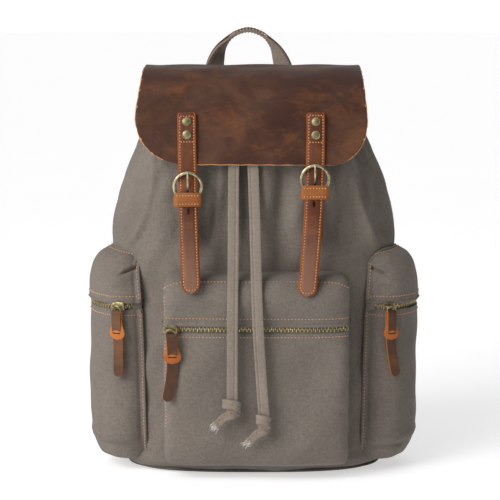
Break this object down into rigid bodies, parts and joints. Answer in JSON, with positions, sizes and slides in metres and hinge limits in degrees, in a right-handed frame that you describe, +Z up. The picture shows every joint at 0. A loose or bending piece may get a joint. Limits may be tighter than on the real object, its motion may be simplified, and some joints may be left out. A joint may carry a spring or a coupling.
{
  "type": "travel backpack",
  "caption": "Canvas backpack with a leather top flap, buckled closure straps, drawstring mouth, zipped front and side pockets, grab handle and shoulder straps.",
  "frame": {"origin": "middle of the base of the main compartment, on the surface it stands on", "axes": "+X to the right seen from the front, -Y to the front where the flap closes, +Z up"},
  "size_m": [0.36, 0.2336, 0.4782],
  "materials": {
    "canvas": "grey-brown cotton canvas, matt, plain weave",
    "flap_leather": "dark brown oiled leather, waxy, scuffed",
    "strap_leather": "mid brown leather with orange-tan edges",
    "pull_leather": "soft brown leather thong",
    "brass": "antique brass",
    "zip": "antique brass teeth on canvas tape",
    "lining": "light cotton lining",
    "board": "stiff board",
    "foam": "soft foam",
    "webbing": "ribbed cotton webbing"
  },
  "bodies": {
    "bag": {"front_panel": "canvas", "back_panel": "canvas", "bottom_panel": "canvas", "drawstring_casing": "canvas", "drawstring_left": "canvas", "drawstring_right": "canvas", "knot_left": "canvas", "knot_right": "canvas", "front_pocket_upper": "canvas", "front_pocket_lower": "canvas", "left_pocket_upper": "canvas", "left_pocket_lower": "canvas", "right_pocket_upper": "canvas", "right_pocket_lower": "canvas", "shoulder_strap_left": "canvas", "shoulder_strap_right": "canvas", "base_board": "board", "back_foam": "foam", "lining": "lining", "front_zip_chain": "zip", "left_zip_chain": "zip", "right_zip_chain": "zip", "yoke_patch": "flap_leather", "strap_anchor_left": "flap_leather", "strap_anchor_right": "flap_leather", "webbing_left": "webbing", "webbing_right": "webbing", "eyelet_left": "brass", "snap_socket_left": "brass", "adjuster_left": "brass", "eyelet_right": "brass", "snap_socket_right": "brass", "adjuster_right": "brass"},
    "flap": {"flap": "flap_leather", "strap_tab_left": "strap_leather", "rivet_upper_left": "brass", "rivet_lower_left": "brass", "strap_tab_right": "strap_leather", "rivet_upper_right": "brass", "rivet_lower_right": "brass"},
    "handle": {"handle_strap": "canvas", "handle_facing": "strap_leather"},
    "strap_left": {"flap_strap_left": "strap_leather", "keeper_left": "strap_leather", "chape_left": "strap_leather", "snap_stud_left": "brass"},
    "buckle_left": {"buckle_ring_left": "brass"},
    "prong_left": {"prong_left": "brass"},
    "strap_right": {"flap_strap_right": "strap_leather", "keeper_right": "strap_leather", "chape_right": "strap_leather", "snap_stud_right": "brass"},
    "buckle_right": {"buckle_ring_right": "brass"},
    "prong_right": {"prong_right": "brass"},
    "front_slider": {"front_slider": "brass"},
    "front_pull": {"front_pull": "pull_leather"},
    "left_slider": {"left_slider": "brass"},
    "left_pull": {"left_pull": "pull_leather"},
    "right_slider": {"right_slider": "brass"},
    "right_pull": {"right_pull": "pull_leather"}
  },
  "joints": [
    {"name": "flap_hinge", "type": "hinge", "parent": "bag", "child": "flap", "pos_m": [0, 0.066, 0.394], "axis": [-1, 0, 0], "range_deg": [0, 110]},
    {"name": "handle_fold", "type": "hinge", "parent": "bag", "child": "handle", "pos_m": [0, 0.066, 0.394], "axis": [-1, 0, 0], "range_deg": [0, 110]},
    {"name": "strap_left_lift", "type": "hinge", "parent": "flap", "child": "strap_left", "pos_m": [0, -0.0876, 0.36405], "axis": [-1, 0, 0], "range_deg": [0, 70]},
    {"name": "buckle_left_swing", "type": "hinge", "parent": "strap_left", "child": "buckle_left", "pos_m": [-0.06926, -0.0904, 0.3032], "axis": [1, 0, 0], "range_deg": [0, 6]},
    {"name": "prong_left_swing", "type": "hinge", "parent": "buckle_left", "child": "prong_left", "pos_m": [-0.06926, -0.0904, 0.3032], "axis": [1, 0, 0], "range_deg": [0, 10]},
    {"name": "strap_right_lift", "type": "hinge", "parent": "flap", "child": "strap_right", "pos_m": [0, -0.0876, 0.36405], "axis": [-1, 0, 0], "range_deg": [0, 70]},
    {"name": "buckle_right_swing", "type": "hinge", "parent": "strap_right", "child": "buckle_right", "pos_m": [0.06206, -0.0904, 0.3109], "axis": [1, 0, 0], "range_deg": [0, 6]},
    {"name": "prong_right_swing", "type": "hinge", "parent": "buckle_right", "child": "prong_right", "pos_m": [0.06206, -0.0904, 0.3109], "axis": [1, 0, 0], "range_deg": [0, 10]},
    {"name": "front_zip", "type": "slide", "parent": "bag", "child": "front_slider", "axis": [1, 0, 0], "range_m": [0, 0.165]},
    {"name": "left_zip", "type": "hinge", "parent": "bag", "child": "left_slider", "pos_m": [-0.118, -0.015, 0.1854], "axis": [0, 0, -1], "range_deg": [0, 105]},
    {"name": "right_zip", "type": "hinge", "parent": "bag", "child": "right_slider", "pos_m": [0.118, -0.015, 0.1854], "axis": [0, 0, 1], "range_deg": [0, 105]},
    {"name": "front_pull_swing", "type": "hinge", "parent": "front_slider", "child": "front_pull", "pos_m": [-0.088, -0.1185, 0.168], "axis": [-1, 0, 0], "range_deg": [0, 100]},
    {"name": "left_pull_swing", "type": "hinge", "parent": "left_slider", "child": "left_pull", "pos_m": [-0.14879, -0.07675, 0.1854], "axis": [-0.8949, 0.4462, 0], "range_deg": [0, 100]},
    {"name": "right_pull_swing", "type": "hinge", "parent": "right_slider", "child": "right_pull", "pos_m": [0.14879, -0.07675, 0.1854], "axis": [-0.8949, -0.4462, 0], "range_deg": [0, 100]}
  ],
  "couplings": [
    {"joint": "handle_fold", "follows": "flap_hinge", "ratio": 1}
  ]
}
